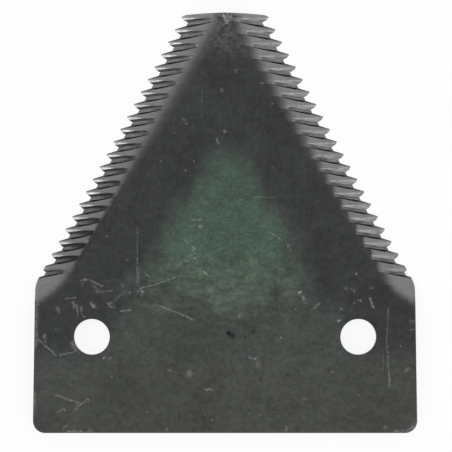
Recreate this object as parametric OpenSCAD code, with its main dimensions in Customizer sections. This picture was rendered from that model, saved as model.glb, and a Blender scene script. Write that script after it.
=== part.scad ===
// Mower sickle section: one stamped and hardened steel plate with two ground, top-serrated
// cutting edges, and two holes that bolt it to the knife bar.
// It lies on its flat underside: +X across the plate, +Y from the heel to the tip, +Z up.
// The origin is midway between the bolt holes, on the underside. Lengths are in millimetres.

/* [Plate] */
// Thickness of the plate
plate_t = 3; // [2.4:0.1:4]
// Width across the heel, one pitch of the knife
heel_w = 76.2; // [73:0.1:80]
// Width where the plain sides end and the cutting edges start
shoulder_w = 75.3; // [72:0.1:79]
// Length from the heel to the tip
section_l = 83.3; // [76:0.1:92]
// Height of the shoulders above the heel
shoulder_h = 29.5; // [27:0.1:34]
// Width of the blunt tip, before its corners are rounded
tip_w = 16.3; // [14:0.1:20]
// Radius of the slightly crowned tip
tip_crown_r = 75; // [40:1:150]
// Corner radius at the tip
tip_corner_r = 0.6; // [0.3:0.1:1.2]
// Corner radius at the heel
heel_corner_r = 2.4; // [1:0.1:5]
// Radius that blends each side into its cutting edge
shoulder_r = 5; // [2:0.5:10]

/* [Bolt holes] */
// Diameter of the holes, a clearance fit for quarter-inch bolts
hole_d = 7.1; // [5.5:0.1:9]
// Distance between the hole centres
hole_spacing = 52.8; // [46:0.1:56]
// Distance from the heel to the hole centres
hole_to_heel = 19.05; // [14:0.05:20]

/* [Ground bevel] */
// Width of the bevel at the tip, square to the edge
bevel_w_tip = 7.1; // [6:0.1:8]
// Width of the bevel at the shoulder end
bevel_w_shoulder = 5.6; // [5:0.1:6.5]
// Thickness left at the two ends of the cutting edge, which is ground a little thinner between them
edge_t = 0.1; // [0.1:0.05:0.4]
// Radius of the grinding wheel, which hollows the bevel
wheel_r = 60; // [40:5:100]
// Distance above the shoulder, along the edge, where the wheel starts to lift off
runout_start = 6.5; // [4:0.5:10]
// Radius of the arc on which the wheel lifts off
runout_r = 30; // [20:1:50]

/* [Serrations] */
// Serrations to the inch of edge
teeth_per_inch = 9; // [8:1:12]
// Depth of a groove below the bevel at the cutting edge
groove_depth = 0.68; // [0.5:0.02:0.74]
// Width of the flat floor of a groove
groove_floor = 0.64; // [0.4:0.02:0.7]
// Angle from the bevel of the lower part of a groove's flank on the side of the tip
tip_flank = 37; // [32:1:50]
// Height of that lower part above the floor
tip_flank_h = 0.36; // [0.2:0.02:0.44]
// Angle from the bevel of the upper part of that flank
tip_relief = 25; // [18:1:30]
// Angle from the bevel of a groove's flank on the side of the heel
heel_flank = 47; // [44:1:65]
// Angle at which the grooves climb toward the tip as they run in from the edge
groove_climb = 7; // [0:0.5:12]
// Length of a groove up the bevel, from the edge to its inner end
groove_l = 8.4; // [7:0.1:9]
// Radius of the disc that plunges in to cut a groove
cutter_r = 38; // [24:1:50]
// Distance along the edge from the tip to the first groove
first_groove = 2.6; // [2:0.1:4]
// Least distance along the edge from the last groove to the shoulder
last_groove = 2; // [1.5:0.1:4]

/* [Hidden] */
$fn = 128;

// How far a tool runs past what it cuts
over = 1;

heel_y = -hole_to_heel;
shoulder_y = heel_y + shoulder_h;
tip_y = heel_y + section_l;

heel_corner = [heel_w / 2, heel_y];
shoulder_corner = [shoulder_w / 2, shoulder_y];
tip_corner = [tip_w / 2, tip_y];

edge_run = tip_corner - shoulder_corner;
edge_l = norm(edge_run);
// Lean of a cutting edge from straight up the plate
edge_lean = atan2(-edge_run.x, edge_run.y);

groove_pitch = 25.4 / teeth_per_inch;
grooves = 1 + floor((edge_l - first_groove - last_groove) / groove_pitch);

function unit(v) = v / norm(v);

function flip(v) = [-v.x, v.y];

// Width of the bevel at a distance along the edge from the shoulder
function bevel_w(s) =
    bevel_w_shoulder + (bevel_w_tip - bevel_w_shoulder) * (s - runout_start) / (edge_l - runout_start);

function bevel_angle(s) = atan2(plate_t - edge_t, bevel_w(s));

// How far the wheel has lifted off the bevel at a distance along the edge
function lift(s) =
    s < runout_start ? runout_r - sqrt(pow(runout_r, 2) - pow(runout_start - s, 2)) : 0;

// Centre of the arc of radius r that sags from a to b, where b lies to the left and higher
function arc_centre(a, b, r) =
    (a + b) / 2 + sqrt(pow(r, 2) - pow(norm(b - a) / 2, 2)) * unit([b.y - a.y, a.x - b.x]);

// Wheel centre from which its rim just meets the cutting edge and the bevel's inner line
function wheel_centre(s) =
    let (c = arc_centre([0, edge_t], [-bevel_w(s), plate_t], wheel_r))
    [c.x, s, c.y];

// What lies outside an arc of radius r that rounds off a corner between two straight runs
module corner_waste(corner, before, after, r) {
    u = unit(before - corner);
    v = unit(after - corner);
    half = acos(u * v) / 2;
    inward = unit(u + v);
    centre = corner + inward * r / sin(half);
    difference() {
        polygon([
            corner - inward * over,
            corner + u * r / tan(half),
            centre,
            corner + v * r / tan(half)
        ]);
        translate(centre) circle(r);
    }
}

module blank_outline() {
    tip_drop = [0, tip_crown_r - sqrt(pow(tip_crown_r, 2) - pow(tip_w / 2, 2))];
    tip_side = tip_corner - tip_drop;
    difference() {
        intersection() {
            polygon([
                heel_corner,
                shoulder_corner,
                tip_corner,
                flip(tip_corner),
                flip(shoulder_corner),
                flip(heel_corner)
            ]);
            translate([0, tip_y - tip_crown_r]) circle(tip_crown_r, $fn = 720);
        }
        for (side = [0, 1]) mirror([side, 0]) {
            corner_waste(heel_corner, flip(heel_corner), shoulder_corner, heel_corner_r);
            corner_waste(shoulder_corner, heel_corner, tip_corner, shoulder_r);
            corner_waste(tip_side, shoulder_corner, [0, tip_y], tip_corner_r);
        }
    }
}

module bolt_holes() {
    for (side = [-1, 1])
        translate([side * hole_spacing / 2, 0, -over]) cylinder(d = hole_d, h = plate_t + 2 * over);
}

// Grinding wheel along the edge: a cylinder that turns in on the arc of its run-out at the shoulder
module grinding_wheel() {
    start = wheel_centre(runout_start);
    run = wheel_centre(edge_l) - start;
    turn = [0, acos(run.z / norm(run)), atan2(run.y, run.x)];
    translate(start) rotate(turn) rotate_extrude($fn = 720) {
        square([wheel_r, norm(run) + plate_t + tip_w]);
        translate([wheel_r - runout_r, 0]) intersection() {
            circle(runout_r);
            translate([0, -runout_r]) square(runout_r);
        }
    }
}

// Section of the disc's rim, standing on the floor of a groove with the side of the tip to the right
module groove_profile() {
    rim = groove_depth + edge_t;
    break_x = groove_floor / 2 + tip_flank_h / tan(tip_flank);
    tip_x = break_x + (rim - tip_flank_h) / tan(tip_relief);
    heel_x = -groove_floor / 2 - rim / tan(heel_flank);
    polygon([
        [-groove_floor / 2, 0],
        [groove_floor / 2, 0],
        [break_x, tip_flank_h],
        [tip_x, rim],
        [tip_x, rim + over],
        [heel_x, rim + over],
        [heel_x, rim]
    ]);
}

// Part of the disc that cuts one groove: in at the edge and out at the groove's inner end
module groove_cutter(s) {
    slope = bevel_angle(s);
    skew = atan(tan(edge_lean + groove_climb) * cos(slope));
    centre = arc_centre([0, -groove_depth], [-groove_l, 0], cutter_r);
    inward = asin((groove_l + over + centre.x) / cutter_r);
    outward = asin((groove_pitch - centre.x) / cutter_r);
    translate([0, s, edge_t]) rotate([0, slope, 0]) rotate(-skew)
        translate([centre.x, 0, centre.y + lift(s)]) rotate([90, 0, 0]) rotate(270 - inward)
            rotate_extrude(angle = inward + outward, $fn = 720)
                translate([cutter_r, 0]) mirror([1, 0]) rotate(-90) groove_profile();
}

// Lays its children along the right-hand edge: x outward from the edge, y from the shoulder to the tip
module along_edge() {
    translate([shoulder_corner.x, shoulder_corner.y, 0]) rotate(edge_lean) children();
}

module ground_plate() {
    difference() {
        linear_extrude(plate_t) blank_outline();
        bolt_holes();
        along_edge() grinding_wheel();
        mirror([1, 0, 0]) along_edge() grinding_wheel();
    }
}

module serrations() {
    for (i = [0 : grooves - 1])
        along_edge() groove_cutter(edge_l - first_groove - i * groove_pitch);
}

module sickle_section() {
    color([0.24, 0.25, 0.24]) difference() {
        ground_plate();
        serrations();
        mirror([1, 0, 0]) serrations();
    }
}

sickle_section();
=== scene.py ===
import math
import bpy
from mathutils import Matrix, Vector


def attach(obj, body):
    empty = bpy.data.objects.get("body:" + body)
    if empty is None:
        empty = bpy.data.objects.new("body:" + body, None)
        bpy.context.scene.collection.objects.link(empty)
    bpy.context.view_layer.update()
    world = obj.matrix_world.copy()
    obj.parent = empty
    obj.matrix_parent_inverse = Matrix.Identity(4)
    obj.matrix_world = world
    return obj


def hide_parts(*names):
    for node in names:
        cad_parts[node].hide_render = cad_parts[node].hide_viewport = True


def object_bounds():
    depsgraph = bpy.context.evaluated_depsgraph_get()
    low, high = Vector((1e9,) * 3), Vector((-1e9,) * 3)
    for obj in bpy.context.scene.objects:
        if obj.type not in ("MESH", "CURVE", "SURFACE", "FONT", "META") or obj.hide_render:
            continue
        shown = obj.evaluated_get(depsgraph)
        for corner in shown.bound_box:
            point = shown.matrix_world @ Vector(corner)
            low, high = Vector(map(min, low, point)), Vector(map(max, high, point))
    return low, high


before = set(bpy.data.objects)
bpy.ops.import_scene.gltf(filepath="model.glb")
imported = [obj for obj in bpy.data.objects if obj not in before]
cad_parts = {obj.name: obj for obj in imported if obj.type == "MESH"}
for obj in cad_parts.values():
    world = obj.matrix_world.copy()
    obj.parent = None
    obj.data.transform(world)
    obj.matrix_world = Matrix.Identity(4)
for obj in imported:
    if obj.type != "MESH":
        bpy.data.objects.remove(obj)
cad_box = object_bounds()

from types import SimpleNamespace

import bmesh
import bpy
from mathutils import Vector

# Lengths are in millimetres unless a comment says otherwise, and this many metres make one
MM = 0.001

# The plate's own sizes, as its solid has them
PLATE_T = cad_box[1].z / MM
TIP_CORNER = Vector((8.15, cad_box[1].y / MM))
SHOULDER = Vector((37.65, 10.45))
EDGE_RUN = TIP_CORNER - SHOULDER
# Along a cutting edge toward the tip, and square to it, outward
ALONG = EDGE_RUN.normalized()
OUTWARD = Vector((ALONG.y, -ALONG.x))
# Thickness of the edge, width of the bevel at the shoulder and at the tip, and depth of its hollow
EDGE_T = 0.1
BEVEL_W = (5.6, 7.1)
BEVEL_SAG = 0.11
# Distance above the shoulder where the wheel starts to lift off, and radius of the arc on which it does
RUNOUT = 6.5
RUNOUT_R = 30
# Grooves: pitch, distance from the tip to the heel wall of the first, turn from straight across the plate,
# and how far they climb along the edge for each millimetre that they run in from it
PITCH = 25.4 / 9
FIRST = 3.05
TURN = math.radians(7)
CLIMB = math.tan(math.atan2(-EDGE_RUN.x, EDGE_RUN.y) + TURN)
# Corner of the box about the origin that holds the rims of both holes and no other rim
HOLES = Vector((32, 5))

# Round of the stamped edges and of the rims of the holes, and the steps that make it
ROLL_R = 0.4
RIM_R = 0.2
ROLL_STEPS = 4
# Least turn between two faces that shows as a sharp edge, and greatest within a flat face
CREASE = math.radians(10)
FLAT = math.radians(0.1)
# How far off the Z of a normal may be on an upright wall and on a level face
TILT_SLACK = 0.01
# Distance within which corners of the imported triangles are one
MERGE = 0.001

# Width of the heat-treated band along the cutting edges, and how high up the plate the soft core inside it
# reaches
BAND_W = 17
CORE_TOP = 37
# How far the noise moves those two borders, that of the heel, and that of the core's foot
WANDER = 6
HEEL_WANDER = 10
FOOT_WANDER = 16
# The core's top and foot are arches: the square of X over these millimetres
TOP_BOW = 40
FOOT_BOW = 60

# Depth below the upper face over which the steel turns bare
CUT_DEPTHS = (0.005, 0.03)
# How far the bevel's inner line steps back between the grooves, on the left and on the right
STEP = (0.25, 1.0)
# Width of that line's feather along the lower edges, at the run-outs, and at the tip on the left and right
CRISP = 0.3
RUNOUT_FEATHER = 1.3
TIP_FEATHER = (2.0, 1.4)
# Depth below the bevel over which a groove begins, and over which the painted highlight on its lip ends
GROOVE_DEPTHS = (0.09, 0.16)
LIP_HIGHLIGHT_DEPTHS = (0.28, 0.14)

# Roughness of the rolled face, the lands between the grooves, and the grooves
FACE_ROUGH = 0.5
LAND_ROUGH = 0.42
GROOVE_ROUGH = 0.22
# Depth of the relief on the face and the lands, in the grooves, and on the sheared walls
FACE_RELIEF = 0.006
GROOVE_RELIEF = 0.015
WALL_RELIEF = 0.05

# Noise patterns: scale to the millimetre across, up and through the plate, detail and roughness
PATTERNS = {
    # Slow clouds, and smears across the plate
    "cloud": ((0.14, 0.14, 0.14), 4, 0.6),
    "smear": ((0.28, 0.6, 1), 6, 0.72),
    # The grain of the scale, and the finer grit of the soft core
    "mottle": ((1.1, 1.1, 1.1), 3, 0.65),
    "grit": ((2.2, 2.2, 2.2), 4, 0.7),
    # Fine lines across and up the face
    "cross": ((0.5, 4, 1), 3, 0.6),
    "upright": ((4, 0.3, 1), 3, 0.6),
    # Grinding lines on the bevels, drawn coarser than real ones, which are too fine to show
    "grain": ((0.35, 3.5, 1), 4, 0.7),
    # Streaks down the sheared walls
    "streak": ((3, 3, 0.25), 3, 0.65),
}

# A stroke fades out over this many half-widths, and one no longer than this many millimetres is a ragged dash
FADE = 1.5
DASH_L = 2
# Wear on the upper face, and painted highlights along its rolled edges, stroke by stroke: start, end and
# half-width in millimetres, and strength
SCRATCHES_AND_EDGE_HIGHLIGHTS = [
    # Up the left of the plate, and the two long ones beside the left hole
    ((-17.4, 21.6), (-17.4, 10.3), 0.12, 0.30),
    ((-17.0, 14.0), (-17.1, 8.9), 0.10, 0.20),
    ((-16.5, 9.7), (-12.9, 10.7), 0.14, 0.40),
    ((-12.9, 10.7), (-9.1, 12.1), 0.14, 0.40),
    ((-13.5, 6.3), (-9.4, 4.8), 0.14, 0.35),
    ((-9.4, 4.8), (-6.4, 3.4), 0.16, 0.50),
    # Swirl above the left hole
    ((-28.7, 11.3), (-26.8, 11.2), 0.16, 0.40),
    ((-26.8, 11.2), (-24.8, 10.3), 0.16, 0.35),
    ((-24.8, 10.3), (-23.4, 9.9), 0.14, 0.30),
    ((-28.7, 11.3), (-28.3, 10.2), 0.16, 0.30),
    ((-26.6, 10.3), (-25.0, 9.3), 0.14, 0.22),
    ((-25.6, 8.9), (-22.4, 9.2), 0.14, 0.35),
    ((-31.6, 7.6), (-29.6, 7.8), 0.16, 0.30),
    # Smudges and dashes round the left hole
    ((-26.4, 6.5), (-25.9, 5.9), 0.30, 0.50),
    ((-26.2, 6.0), (-25.6, 5.8), 0.24, 0.60),
    ((-33.4, 6.0), (-33.1, 5.2), 0.20, 0.32),
    ((-32.9, 5.8), (-33.0, 4.6), 0.16, 0.28),
    ((-33.7, 5.4), (-32.6, 5.6), 0.14, 0.22),
    ((-30.2, 6.9), (-29.8, 6.0), 0.22, 0.32),
    ((-29.4, 6.4), (-29.2, 4.4), 0.16, 0.38),
    ((-30.0, 5.6), (-28.8, 5.9), 0.14, 0.28),
    ((-28.6, 5.8), (-28.1, 4.0), 0.16, 0.42),
    ((-23.3, 6.5), (-22.7, 6.3), 0.30, 0.45),
    ((-23.0, 6.2), (-21.8, 5.8), 0.16, 0.38),
    ((-22.8, 6.6), (-19.8, 9.0), 0.34, 0.18),
    ((-20.6, 5.1), (-18.6, 5.4), 0.16, 0.50),
    ((-17.4, 8.9), (-16.8, 9.4), 0.16, 0.50),
    ((-16.8, 9.4), (-16.3, 8.8), 0.16, 0.50),
    ((-16.3, 8.8), (-16.6, 8.0), 0.14, 0.40),
    ((-15.9, 12.7), (-14.9, 12.1), 0.16, 0.50),
    ((-30.2, -1.2), (-29.4, -2.6), 0.50, 0.25),
    ((-32.7, -3.6), (-29.3, -2.8), 0.20, 0.25),
    ((-24.0, -4.1), (-22.8, -4.2), 0.18, 0.35),
    # In from the left side, and in the lower left corner
    ((-37.1, -0.4), (-33.5, -3.6), 0.16, 0.40),
    ((-35.7, 0.4), (-35.5, -0.8), 0.25, 0.30),
    ((-33.5, -11.5), (-28.5, -13.3), 0.22, 0.34),
    ((-28.5, -13.3), (-27.1, -12.5), 0.22, 0.34),
    ((-28.5, -13.3), (-29.7, -14.5), 0.22, 0.34),
    ((-33.5, -15.1), (-31.9, -14.3), 0.22, 0.30),
    ((-32.0, -18.3), (-31.1, -17.2), 0.22, 0.25),
    # Down the plate, right of the right hole
    ((32.3, 5.5), (32.0, -1.0), 0.18, 0.22),
    ((32.0, -1.0), (32.4, -6.5), 0.20, 0.26),
    ((32.4, -6.5), (32.6, -9.8), 0.18, 0.32),
    ((31.3, -2.4), (31.2, -7.0), 0.10, 0.22),
    # Curls on the left and right of the soft core
    ((-7.8, 19.0), (-6.9, 18.8), 0.14, 0.35),
    ((-6.4, 17.9), (-6.0, 17.2), 0.16, 0.40),
    ((-7.4, 16.0), (-6.2, 16.4), 0.16, 0.35),
    ((-8.2, 15.2), (-7.4, 14.9), 0.16, 0.40),
    ((-6.0, 15.8), (-5.4, 15.2), 0.16, 0.35),
    ((-9.5, 14.0), (-8.9, 14.6), 0.18, 0.45),
    ((-6.6, 23.2), (-4.6, 23.3), 0.12, 0.35),
    ((-5.2, 21.9), (-4.4, 22.1), 0.16, 0.45),
    ((5.9, 27.7), (10.0, 27.6), 0.12, 0.20),
    ((12.4, 18.4), (12.9, 17.0), 0.14, 0.40),
    # Lower middle, and in and beside the soft core
    ((-4.0, -10.3), (-2.4, -10.7), 0.14, 0.40),
    ((4.7, -4.0), (6.3, -4.4), 0.16, 0.40),
    ((9.1, 20.6), (11.3, 19.0), 0.12, 0.35),
    ((15.2, 8.0), (16.0, 6.8), 0.20, 0.40),
    ((17.2, 5.5), (18.6, 6.5), 0.20, 0.35),
    ((10.1, 6.4), (10.5, 5.8), 0.20, 0.30),
    ((-4.2, 12.9), (-3.8, 12.5), 0.25, 0.50),
    # Over the right hole
    ((25.0, 9.6), (25.7, 9.0), 0.18, 0.35),
    ((26.3, 7.3), (27.0, 7.4), 0.22, 0.45),
    ((28.6, 7.7), (29.2, 6.0), 0.24, 0.50),
    # Upper half
    ((-4.6, 49.5), (-4.6, 43.0), 0.10, 0.16),
    ((-8.2, 43.3), (-7.6, 42.2), 0.20, 0.40),
    ((-1.6, 39.2), (-1.2, 38.4), 0.28, 0.40),
    # Nick in the tip
    ((-0.4, 63.9), (0.5, 62.2), 0.30, 0.90),
    ((1.3, 63.9), (0.5, 62.2), 0.26, 0.75),
    ((0.4, 64.1), (0.5, 63.2), 0.30, 0.60),
    # Sides and heel: painted highlights where the rolled edges catch the light
    ((-37.5, 12.5), (-37.7, -1.5), 0.70, 0.30),
    ((-37.9, -11.0), (-37.9, -15.0), 0.50, 0.25),
    ((-31.3, -18.8), (-28.4, -18.8), 0.40, 0.35),
    ((-27.4, -18.8), (-26.4, -18.8), 0.40, 0.30),
    ((33.6, -18.7), (36.4, -18.6), 0.35, 0.30),
    ((36.4, -18.6), (37.8, -17.2), 0.40, 0.35),
]
# Pale flecks, and two painted highlights where dents catch the light: place, radius and strength
FLECKS_AND_DENT_HIGHLIGHTS = [
    ((-18.8, 8.7), 0.30, 0.80),
    ((-19.2, 15.4), 0.20, 0.50),
    ((-20.3, 10.1), 0.20, 0.45),
    ((-33.6, 1.6), 0.20, 0.50),
    ((14.7, 8.8), 0.35, 0.80),
    ((0.5, 13.2), 0.32, 0.55),
    ((2.8, 4.2), 0.32, 0.45),
    ((0.0, 40.7), 0.35, 0.55),
    ((7.3, 50.3), 0.30, 0.60),
    ((9.3, 46.3), 0.30, 0.50),
    ((-7.8, 32.9), 0.32, 0.45),
    ((-0.6, 48.9), 0.40, 0.25),
    ((2.2, 52.6), 0.40, 0.25),
    # Two dents, painted as soft pale blobs: painted highlights
    ((-7.1, -7.3), 0.70, 0.40),
    ((6.5, -5.5), 0.65, 0.35),
    ((-11.0, -6.6), 0.35, 0.40),
    ((-11.6, -18.3), 0.35, 0.55),
    ((-2.6, -16.4), 0.30, 0.45),
    ((12.2, -18.0), 0.45, 0.50),
    ((31.8, -17.9), 0.40, 0.40),
    ((6.9, -15.4), 0.35, 0.35),
    ((15.8, -12.1), 0.30, 0.40),
    ((26.4, -11.6), 0.28, 0.40),
    ((21.1, -7.0), 0.25, 0.40),
    ((22.5, 3.2), 0.25, 0.65),
    ((23.0, 5.5), 0.25, 0.40),
    ((25.9, 12.4), 0.30, 0.50),
    ((23.9, 9.7), 0.40, 0.28),
    ((29.1, 9.7), 0.40, 0.28),
    ((37.0, 3.0), 0.45, 0.40),
    ((37.1, 1.4), 0.35, 0.40),
    ((36.0, -6.5), 0.50, 0.30),
]
# Dark stains, as the scratches
STAINS = [
    ((0.6, 0.7), (1.7, 0.1), 0.55, 0.90),
    ((5.6, 1.1), (5.9, 0.7), 0.30, 0.60),
    ((-7.0, 5.6), (-6.9, 5.5), 0.30, 0.70),
    ((3.7, 12.9), (3.9, 9.3), 0.14, 0.45),
    ((2.6, 26.0), (2.9, 15.0), 0.12, 0.25),
    ((1.6, 63.7), (3.0, 63.3), 0.45, 0.70),
    ((-1.8, 63.6), (-0.9, 62.9), 0.40, 0.60),
]

# The photograph's frame on the plate, and a long lens, in millimetres
VIEW_CENTRE = Vector((0.18, 21.97))
VIEW_W = 89.5
LENS = 400
SENSOR = 36

# Lamps, in metres and watts: place, aim, size and power
MIDDLE = (0, 20 * MM, 0)
LAMPS = {
    # Low at the front right, for the flanks of the grooves on the right
    "key": ((0.485, -0.69, 0.31), MIDDLE, (1.3, 0.4), 3.1),
    # Small, at the left, for the grooves there
    "fill": ((-0.49, -0.3, 0.56), MIDDLE, (0.5, 0.35), 0.84),
    # Wide softbox overhead, which the faces mirror
    "ceiling": ((0, 0.3, 1.0), (0, 0.3, 0), (3.4, 2.6), 27.4),
    # Low beyond the tip, for what faces that way
    "back": ((0, 1.2, 0.5), MIDDLE, (2.2, 0.7), 1.9),
    # Low at the right, for the inner ends of the grooves there
    "side": ((0.88, 0.5, 0.26), MIDDLE, (0.6, 0.26), 0.64),
}
WORLD_LIGHT = 0.04
# Half-width of the floor in metres, and how much of it looks white by itself
FLOOR_HALF_W = 2
FLOOR_GLOW = 0.88


def colour(code):
    """Linear colour of an sRGB hex code."""
    parts = [int(code[i:i + 2], 16) / 255 for i in (1, 3, 5)]
    return [c / 12.92 if c <= 0.04045 else ((c + 0.055) / 1.055) ** 2.4 for c in parts] + [1]


def add(tree, kind, feeds=(), **settings):
    """Adds a node and returns its output. Feeds are values or sockets, by name or in the inputs' order."""
    made = tree.nodes.new("ShaderNode" + kind)
    for name, value in settings.items():
        setattr(made, name, value)
    shown = [socket for socket in made.inputs if socket.enabled]
    for key, feed in feeds.items() if isinstance(feeds, dict) else enumerate(feeds):
        socket = made.inputs[key] if isinstance(key, str) else shown[key]
        if isinstance(feed, bpy.types.NodeSocket):
            tree.links.new(feed, socket)
        else:
            socket.default_value = feed
    return next((socket for socket in made.outputs if socket.enabled), None)


def new_material(name):
    """An empty material and its node tree."""
    material = bpy.data.materials.new(name)
    material.use_nodes = True
    material.node_tree.nodes.clear()
    return material, material.node_tree


def strokes(tree, spot, drawn):
    """How strongly the drawn strokes mark a spot, whose place is in millimetres."""
    total = 0.0
    # No number feeds a vector socket in this loop: with so many strokes, that makes the material render black
    for start, end, half_w, strength in drawn:
        start = Vector((*start, 0))
        stroke = Vector((*end, 0)) - start
        offset = add(tree, "VectorMath", [spot, start], operation="SUBTRACT")
        reach = add(tree, "VectorMath", [offset, stroke.normalized()], operation="DOT_PRODUCT")
        reach = add(tree, "Clamp", [reach, 0, stroke.length])
        foot = add(tree, "VectorMath", {"Vector": stroke.normalized(), "Scale": reach}, operation="SCALE")
        apart = add(tree, "VectorMath", [offset, foot], operation="DISTANCE")
        mark = add(tree, "MapRange", [apart, FADE * half_w, 0, 0, strength], interpolation_type="SMOOTHSTEP")
        total = add(tree, "Math", [total, mark], operation="MAXIMUM")
    return total


def shaken(tree, mm, per_mm, detail, reach):
    """A place on the face, moved to and fro by half the reach in millimetres, so that strokes look worn."""
    add(tree, "TexNoise", [mm, per_mm, detail, 0.6])
    noise = tree.nodes[-1].outputs["Color"]
    moved = add(tree, "VectorMath", [noise, [reach, reach, 0], mm], operation="MULTIPLY_ADD")
    moved = add(tree, "VectorMath", [moved, [reach / 2, reach / 2, 0]], operation="SUBTRACT")
    return add(tree, "VectorMath", [moved, [1, 1, 0]], operation="MULTIPLY")


def dots(tree, mm, cell, share, r, strength):
    """Round dots of up to a radius r, in that share of the cells, in millimetres."""
    apart = add(tree, "TexVoronoi", {"Vector": mm, "Scale": 1 / cell}, voronoi_dimensions="2D")
    tint = tree.nodes[-1].outputs["Color"]
    reach = add(tree, "MapRange", [tint, 1 - share, 1, 0, r / cell])
    dot = add(tree, "Math", [apart, reach], operation="LESS_THAN")
    return add(tree, "Math", [dot, strength], operation="MULTIPLY")


def places(tree):
    """Where a spot of the plate is, in millimetres, and how far it faces the tip and upward."""
    add(tree, "TexCoord")
    place, facing = (tree.nodes[-1].outputs[name] for name in ("Object", "Normal"))
    mm = add(tree, "VectorMath", [place, [1 / MM] * 3], operation="MULTIPLY")
    add(tree, "SeparateXYZ", [mm])
    x, y, z = tree.nodes[-1].outputs
    add(tree, "SeparateXYZ", [facing])
    to_tip, up = (tree.nodes[-1].outputs[axis] for axis in "YZ")
    # In from the nearer cutting edge, along it from the shoulder, and width of the bevel there
    side = add(tree, "Math", [x], operation="ABSOLUTE")
    flat = add(tree, "CombineXYZ", [side, y, 1])
    inside = add(tree, "VectorMath", [flat, [-OUTWARD.x, -OUTWARD.y, OUTWARD.dot(SHOULDER)]],
                 operation="DOT_PRODUCT")
    run = add(tree, "VectorMath", [flat, [*ALONG, -ALONG.dot(SHOULDER)]], operation="DOT_PRODUCT")
    width = add(tree, "MapRange", [run, RUNOUT, EDGE_RUN.length, *BEVEL_W])
    return SimpleNamespace(mm=mm, x=x, y=y, z=z, to_tip=to_tip, up=up, inside=inside, run=run, width=width)


def noises(tree, mm):
    """The patterns by name, each from 0 to 1."""
    made = SimpleNamespace()
    for name, (per_mm, detail, roughness) in PATTERNS.items():
        spot = add(tree, "VectorMath", [mm, per_mm], operation="MULTIPLY")
        setattr(made, name, add(tree, "TexNoise", [spot, 1, detail, roughness]))
    return made


def face_tone(tree, at, noise):
    """Tone of the rolled face, and how soft it is: a dark hardened band along the edges and under the tip, a
    greenish soft core inside it, and the heel."""
    border = add(tree, "Math", [noise.cloud, WANDER, at.inside], operation="MULTIPLY_ADD")
    band = add(tree, "MapRange", [border, BAND_W + 5.5, BAND_W + 0.5, 0, 1], interpolation_type="SMOOTHSTEP")
    green = add(tree, "MapRange", [border, BAND_W + 1, BAND_W + 9, 0, 1], interpolation_type="SMOOTHSTEP")
    bow = add(tree, "Math", [at.x, at.x], operation="MULTIPLY")
    border = add(tree, "Math", [bow, 1 / TOP_BOW, at.y], operation="MULTIPLY_ADD")
    border = add(tree, "Math", [noise.cloud, WANDER, border], operation="MULTIPLY_ADD")
    cap = add(tree, "MapRange", [border, CORE_TOP - 2, CORE_TOP + 7, 0, 1], interpolation_type="SMOOTHSTEP")
    border = add(tree, "Math", [noise.cloud, HEEL_WANDER, at.y], operation="MULTIPLY_ADD")
    body = add(tree, "MapRange", [border, -1, 5, 0, 1], interpolation_type="SMOOTHSTEP")
    hard = add(tree, "Math", [band, cap], operation="MAXIMUM")
    hard = add(tree, "Math", [hard, body], operation="MULTIPLY")
    border = add(tree, "Math", [bow, -1 / FOOT_BOW, at.y], operation="MULTIPLY_ADD")
    for pattern in (noise.smear, noise.cloud):
        border = add(tree, "Math", [pattern, FOOT_WANDER, border], operation="MULTIPLY_ADD")
    core = add(tree, "MapRange", [border, 18, 33, 0, 1], interpolation_type="SMOOTHSTEP")
    core = add(tree, "Math", [core, green], operation="MULTIPLY")

    tone = add(tree, "Mix", [body, colour("#494b48"), colour("#474c48")], data_type="RGBA")
    vivid = add(tree, "MapRange", [noise.smear, 0.35, 0.6, 0, 1])
    upper = add(tree, "Mix", [vivid, colour("#4d5852"), colour("#4a5f51")], data_type="RGBA")
    lower = add(tree, "Mix", [vivid, colour("#4f574f"), colour("#5e6b5e")], data_type="RGBA")
    foot = add(tree, "MapRange", [at.y, 18, 8, 0, 1])
    verdure = add(tree, "Mix", [foot, upper, lower], data_type="RGBA")
    tone = add(tree, "Mix", [core, tone, verdure], data_type="RGBA")
    tone = add(tree, "Mix", [hard, tone, colour("#3d3f3e")], data_type="RGBA")

    # Lines across the soft face and up the hardened band, the grain, and then the smears and clouds
    lines = add(tree, "Mix", [hard, noise.cross, noise.upright])
    lines = add(tree, "MapRange", [lines, 0.35, 0.7, -0.06, 0.08])
    even = add(tree, "MapRange", [noise.mottle, 0.3, 0.7, 0.84, 1.16])
    gritty = add(tree, "MapRange", [noise.grit, 0.3, 0.7, 0.72, 1.28])
    fine = add(tree, "Mix", [core, even, gritty])
    shade = add(tree, "Math", [lines, fine], operation="ADD")
    for pattern, low, high in ((noise.smear, 0.3, 0.7), (noise.cloud, 0.35, 0.65)):
        patch = add(tree, "MapRange", [pattern, low, high, 0.89, 1.11])
        shade = add(tree, "Math", [shade, patch], operation="MULTIPLY")
    tone = add(tree, "VectorMath", {"Vector": tone, "Scale": shade}, operation="SCALE")

    # Short pale rub marks across the soft core
    soft = add(tree, "Math", [1, hard], operation="SUBTRACT")
    sparse = add(tree, "MapRange", [noise.smear, 0.45, 0.65, 0, 1])
    rubbed = add(tree, "MapRange", [noise.cross, 0.58, 0.7, 0, 0.7])
    for share in (sparse, soft, core):
        rubbed = add(tree, "Math", [rubbed, share], operation="MULTIPLY")
    tone = add(tree, "Mix", [rubbed, tone, colour("#718377")], data_type="RGBA")
    return tone, soft


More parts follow.
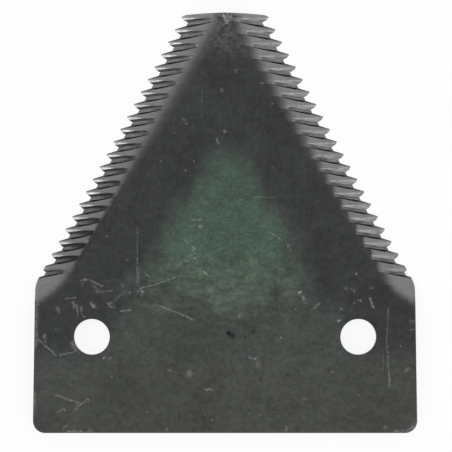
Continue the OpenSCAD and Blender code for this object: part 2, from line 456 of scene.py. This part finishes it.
def wear(tree, at, noise, soft):
    """Pale marks, among them painted highlights on the rolled edges and on two dents, and dark stains on the
    upper face, broken up by the grit, and pits in the soft steel.
    """
    on_top = add(tree, "Math", [at.up, 0.5], operation="GREATER_THAN")
    broken = add(tree, "MapRange", [noise.grit, 0.36, 0.62, 0, 1.3])
    broken = add(tree, "Math", [broken, on_top], operation="MULTIPLY")
    spot = shaken(tree, at.mm, per_mm=0.8, detail=4, reach=0.5)
    ragged = shaken(tree, at.mm, per_mm=1.6, detail=2, reach=1.6)

    long = [drawn for drawn in SCRATCHES_AND_EDGE_HIGHLIGHTS if math.dist(*drawn[:2]) > DASH_L]
    dashes = [drawn for drawn in SCRATCHES_AND_EDGE_HIGHLIGHTS if math.dist(*drawn[:2]) <= DASH_L]
    flecks_and_dent_highlights = [(place, place, r, strength) for place, r, strength in FLECKS_AND_DENT_HIGHLIGHTS]
    scratches_and_highlights = strokes(tree, spot, long)
    short_marks_and_highlights = strokes(tree, ragged, dashes + flecks_and_dent_highlights)
    mark = add(tree, "Math", [scratches_and_highlights, short_marks_and_highlights], operation="MAXIMUM")
    mark = add(tree, "Math", [mark, broken], operation="MULTIPLY")
    speck = dots(tree, at.mm, cell=7, share=0.6, r=0.25, strength=0.3)
    speck = add(tree, "Math", [speck, on_top], operation="MULTIPLY")
    mark = add(tree, "Math", [mark, speck], operation="MAXIMUM")

    stain = strokes(tree, spot, STAINS)
    stain = add(tree, "Math", [stain, broken], operation="MULTIPLY")
    pit = dots(tree, at.mm, cell=2.5, share=0.5, r=0.3, strength=0.4)
    pit = add(tree, "Math", [pit, soft], operation="MULTIPLY")
    stain = add(tree, "Math", [stain, pit], operation="MAXIMUM")
    return mark, stain


def bare_metal(tree, at, noise):
    """How bare the steel is. Where the wheel has cut below the face it is bare up to the bevel's inner line,
    which is crisp along the lower edges and feathered at the run-outs and toward the tip."""
    lag = add(tree, "Math", [RUNOUT, at.run], operation="SUBTRACT")
    lag = add(tree, "Math", [lag, 0], operation="MAXIMUM")
    lift = add(tree, "Math", [lag, lag], operation="MULTIPLY")
    reach = add(tree, "Math", [lift, -1 / RUNOUT_R, at.width], operation="MULTIPLY_ADD")
    past = add(tree, "Math", [at.inside, reach], operation="SUBTRACT")
    past = add(tree, "Math", [past, noise.mottle], operation="ADD")

    # Between the grooves, which run past it, the inner line steps back, more so on the right
    first = EDGE_RUN.length - FIRST
    phase = add(tree, "Math", [at.inside, -CLIMB, at.run], operation="MULTIPLY_ADD")
    phase = add(tree, "MapRange", [phase, first, first + PITCH, 0, 1], clamp=False)
    phase = add(tree, "Math", [phase], operation="FRACT")
    step = add(tree, "MapRange", [at.x, -1, 1, *STEP])
    grooved = add(tree, "MapRange", [at.run, 1, 3, 0, 1])
    step = add(tree, "Math", [step, grooved], operation="MULTIPLY")
    past = add(tree, "Math", [phase, step, past], operation="MULTIPLY_ADD")

    # The feather is wider on the left
    widest = add(tree, "MapRange", [at.x, -1, 1, *TIP_FEATHER])
    feather = add(tree, "MapRange", [at.run, 14, 40, CRISP, widest])
    soften = add(tree, "MapRange", [at.run, 9, 3, CRISP, RUNOUT_FEATHER])
    feather = add(tree, "Math", [feather, soften], operation="MAXIMUM")
    share = add(tree, "Math", [past, feather], operation="DIVIDE")
    bright = add(tree, "MapRange", [share, 0.8, -0.9, 0.1, 1], interpolation_type="SMOOTHSTEP")

    # On the face itself there is a haze along that line, and a patchy one at the tip
    haze = add(tree, "MapRange", [share, 1, 0, 0, 0.2], interpolation_type="SMOOTHSTEP")
    near_tip = add(tree, "MapRange", [at.y, 54, 61, 0, 1])
    patches = add(tree, "MapRange", [noise.mottle, 0.42, 0.68, 0.06, 0.4])
    haze = add(tree, "Math", [near_tip, patches, haze], operation="MULTIPLY_ADD")
    cut = add(tree, "MapRange", [at.z, *(PLATE_T - depth for depth in CUT_DEPTHS), 0, 1])
    sloped = add(tree, "MapRange", [at.up, 0.05, 0.2, 0, 1])
    bare = add(tree, "Mix", [cut, haze, bright])
    return add(tree, "Math", [bare, sloped], operation="MULTIPLY")


def grooves(tree, at, noise):
    """Whether a spot is in a groove, which its depth below the hollow of the bevel tells, whether it is on
    the broken burr of a groove's lip, which gets a painted highlight, and how much painted shade darkens it
    in the groove."""
    share = add(tree, "Math", [at.inside, at.width], operation="DIVIDE", use_clamp=True)
    rest = add(tree, "Math", [1, share], operation="SUBTRACT")
    sag = add(tree, "Math", [share, rest], operation="MULTIPLY")
    face_z = add(tree, "Math", [share, PLATE_T - EDGE_T, EDGE_T], operation="MULTIPLY_ADD")
    face_z = add(tree, "Math", [sag, -4 * BEVEL_SAG, face_z], operation="MULTIPLY_ADD")
    sunk = add(tree, "Math", [face_z, at.z], operation="SUBTRACT")
    in_groove = add(tree, "MapRange", [sunk, *GROOVE_DEPTHS, 0, 1])

    # A pale, broken rim along each groove's lip: a burr, painted pale as a highlight
    lip_highlight = add(tree, "MapRange", [sunk, *LIP_HIGHLIGHT_DEPTHS, 0, 1])
    chips = add(tree, "MapRange", [noise.mottle, 0.42, 0.6, 0, 0.8])
    above = add(tree, "MapRange", [at.run, RUNOUT, 2 * RUNOUT, 0, 1])
    for part in (in_groove, chips, above):
        lip_highlight = add(tree, "Math", [lip_highlight, part], operation="MULTIPLY")

    # Painted shade where the grooves lie in shadow: thin on the floors and the lower flanks, which face the
    # heel, and thick on the walls that face the tip
    thin_shade = add(tree, "MapRange", [at.to_tip, 0.02, 0.16, 0, 0.3])
    flank = add(tree, "MapRange", [at.to_tip, -0.27, -0.38, 0, 0.36])
    thin_shade = add(tree, "Math", [thin_shade, flank], operation="MAXIMUM")
    thin_shade = add(tree, "Math", [thin_shade, in_groove], operation="MULTIPLY")
    # The walls that face the tip are painted near black, as shade
    painted_shade = add(tree, "MapRange", [at.to_tip, 0.5, 0.62, 0, 0.97])
    painted_shade = add(tree, "Math", [painted_shade, thin_shade], operation="MAXIMUM")
    return in_groove, lip_highlight, painted_shade


def sheared_wall(tree, at, noise):
    """Where the sheared sides and hole walls are, how torn they are, and their tone: burnished near the upper
    face, torn and dull below."""
    steep = add(tree, "Math", [at.up], operation="ABSOLUTE")
    wall = add(tree, "MapRange", [steep, 0.5, 0.25, 0, 1])
    torn = add(tree, "MapRange", [noise.streak, 0.3, 0.7, 0, 1])
    tone = add(tree, "Mix", [torn, colour("#3e403f"), colour("#636563")], data_type="RGBA")
    burnish = add(tree, "Math", [noise.streak, 1.2, at.z], operation="MULTIPLY_ADD")
    burnish = add(tree, "Math", [noise.cloud, 2, burnish], operation="MULTIPLY_ADD")
    burnish = add(tree, "MapRange", [burnish, 3.4, 3.8, 0, 1])
    tone = add(tree, "Mix", [burnish, tone, colour("#7c7e7b")], data_type="RGBA")
    return wall, torn, tone


def hardened_steel():
    """Oil-quenched carbon steel with bare ground bevels: a dark, dull face with a greenish soft core, against
    pale, streaky ground metal that flashes where a groove's wall faces the light."""
    material, tree = new_material("hardened_carbon_steel")
    at = places(tree)
    noise = noises(tree, at.mm)
    tone, soft = face_tone(tree, at, noise)
    mark, stain = wear(tree, at, noise, soft)
    bare = bare_metal(tree, at, noise)
    in_groove, lip_highlight, painted_shade = grooves(tree, at, noise)
    wall, torn, wall_tone = sheared_wall(tree, at, noise)

    # Ground metal, with stronger grinding lines in the grooves than on the lands between them
    sheen = add(tree, "MapRange", [noise.grain, 0.3, 0.7, 0, 1])
    land = add(tree, "Mix", [sheen, colour("#797a79"), colour("#8e8f8e")], data_type="RGBA")
    ground = add(tree, "Mix", [sheen, colour("#636463"), colour("#a4a5a4")], data_type="RGBA")
    ground = add(tree, "Mix", [in_groove, land, ground], data_type="RGBA")
    # Painted highlight on the broken burr along each groove's lip
    ground = add(tree, "Mix", [lip_highlight, ground, colour("#c2c3c1")], data_type="RGBA")

    painted_shade = add(tree, "Math", [painted_shade, bare], operation="MULTIPLY")
    base = add(tree, "Mix", [bare, tone, ground], data_type="RGBA")
    # Pale wear, with painted highlights on the rolled edges and on two dents
    base = add(tree, "Mix", [mark, base, colour("#a5a7a4")], data_type="RGBA")
    base = add(tree, "Mix", [stain, base, colour("#171817")], data_type="RGBA")
    # Painted shade: floors, lower flanks and the walls facing the tip darkened toward black
    base = add(tree, "Mix", [painted_shade, base, colour("#101110")], data_type="RGBA")
    base = add(tree, "Mix", [wall, base, wall_tone], data_type="RGBA")
    rough = add(tree, "Mix", [in_groove, LAND_ROUGH, GROOVE_ROUGH])
    rough = add(tree, "Mix", [bare, FACE_ROUGH, rough])

    # Relief: the grain of the scale, the grinding lines and the torn walls
    relief = add(tree, "Mix", [bare, noise.mottle, noise.grain])
    depth = add(tree, "Mix", [in_groove, FACE_RELIEF, GROOVE_RELIEF])
    relief = add(tree, "Math", [relief, depth], operation="MULTIPLY")
    torn = add(tree, "Math", [torn, WALL_RELIEF], operation="MULTIPLY")
    relief = add(tree, "Mix", [wall, relief, torn])
    lined = add(tree, "Bump", {"Height": relief, "Strength": 1.0, "Distance": MM})
    steel = add(tree, "BsdfPrincipled",
                {"Base Color": base, "Roughness": rough, "Metallic": 1.0, "Normal": lined})
    add(tree, "OutputMaterial", {"Surface": steel})
    return material


def rolled_plate(node, material):
    """The plate with the edges that the punch has rolled over; its cutting edges stay sharp."""
    shape = bmesh.new()
    shape.from_mesh(node.data)
    bmesh.ops.remove_doubles(shape, verts=shape.verts, dist=MERGE * MM)
    bmesh.ops.dissolve_limit(shape, angle_limit=FLAT, verts=shape.verts, edges=shape.edges)
    bmesh.ops.recalc_face_normals(shape, faces=shape.faces)
    for face in shape.faces:
        face.smooth = True
        face.material_index = 0
    # Rims between the upper face and an upright wall, by the round that they get
    rims = {ROLL_R: [], RIM_R: []}
    for edge in shape.edges:
        edge.smooth = edge.calc_face_angle(0) < CREASE
        tilts = sorted(face.normal.z for face in edge.link_faces)
        if abs(tilts[0]) < TILT_SLACK and tilts[-1] > 1 - TILT_SLACK:
            corner = edge.verts[0].co / MM
            at_hole = abs(corner.x) < HOLES.x and abs(corner.y) < HOLES.y
            rims[RIM_R if at_hole else ROLL_R].append(edge)
    for r, edges in rims.items():
        made = bmesh.ops.bevel(shape, geom=edges, offset=r * MM, offset_type="OFFSET", affect="EDGES",
                               segments=ROLL_STEPS, profile=0.5, material=-1)
        for face in made["faces"]:
            face.smooth = True
            for edge in face.edges:
                edge.smooth = True
    mesh = bpy.data.meshes.new("rolled_plate")
    shape.to_mesh(mesh)
    shape.free()
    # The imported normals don't fit the rounded edges
    if "custom_normal" in mesh.attributes:
        mesh.attributes.remove(mesh.attributes["custom_normal"])
    mesh.materials.append(material)
    piece = bpy.data.objects.new("rolled_plate", mesh)
    bpy.context.scene.collection.objects.link(piece)
    even = piece.modifiers.new("flat faces stay flat", "WEIGHTED_NORMAL")
    even.keep_sharp = True
    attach(piece, "root")
    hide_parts("sickle_section")


def pale_floor():
    """Matt white paper: it looks white to the eye and still takes the plate's shadow."""
    material, tree = new_material("white_paper")
    paper = add(tree, "BsdfDiffuse", [colour("#fafafa")])
    add(tree, "LightPath")
    rays = tree.nodes[-1].outputs
    seen = add(tree, "Math", [rays["Is Camera Ray"], rays["Is Glossy Ray"]], operation="MAXIMUM")
    seen = add(tree, "Math", [seen, rays["Is Transmission Ray"]], operation="MAXIMUM")
    share = add(tree, "Math", [seen, FLOOR_GLOW], operation="MULTIPLY")
    white = add(tree, "Emission", [[1, 1, 1, 1], 1])
    look = add(tree, "MixShader", [share, paper, white])
    add(tree, "OutputMaterial", {"Surface": look})
    return material


def area_lamp(name, place, aim, size, power):
    """A rectangular lamp that faces its aim."""
    lamp = bpy.data.lights.new(name, "AREA")
    lamp.shape = "RECTANGLE"
    lamp.size, lamp.size_y = size
    lamp.energy = power
    made = bpy.data.objects.new(name, lamp)
    made.location = place
    made.rotation_euler = (Vector(aim) - Vector(place)).to_track_quat("-Z", "Y").to_euler()
    bpy.context.scene.collection.objects.link(made)


def studio():
    """The pale floor, a nearly dark world and the lamps."""
    shape = bmesh.new()
    bmesh.ops.create_grid(shape, x_segments=1, y_segments=1, size=FLOOR_HALF_W)
    mesh = bpy.data.meshes.new("floor")
    shape.to_mesh(mesh)
    shape.free()
    floor = bpy.data.objects.new("floor", mesh)
    bpy.context.scene.collection.objects.link(floor)
    mesh.materials.append(pale_floor())

    world = bpy.data.worlds.new("studio")
    world.use_nodes = True
    background = world.node_tree.nodes["Background"]
    background.inputs["Color"].default_value = [1, 1, 1, 1]
    background.inputs["Strength"].default_value = WORLD_LIGHT
    bpy.context.scene.world = world

    for name, settings in LAMPS.items():
        area_lamp(name, *settings)


def camera():
    """Straight above the plate, so far up that its upper face fills the photograph's frame."""
    lens = bpy.data.cameras.new("camera")
    lens.lens = LENS
    lens.sensor_width = SENSOR
    made = bpy.data.objects.new("camera", lens)
    made.location = Vector((*VIEW_CENTRE, PLATE_T + VIEW_W * LENS / SENSOR)) * MM
    bpy.context.scene.collection.objects.link(made)
    bpy.context.scene.camera = made


bpy.context.scene.view_settings.view_transform = "Standard"
rolled_plate(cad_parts["sickle_section"], hardened_steel())
studio()
camera()
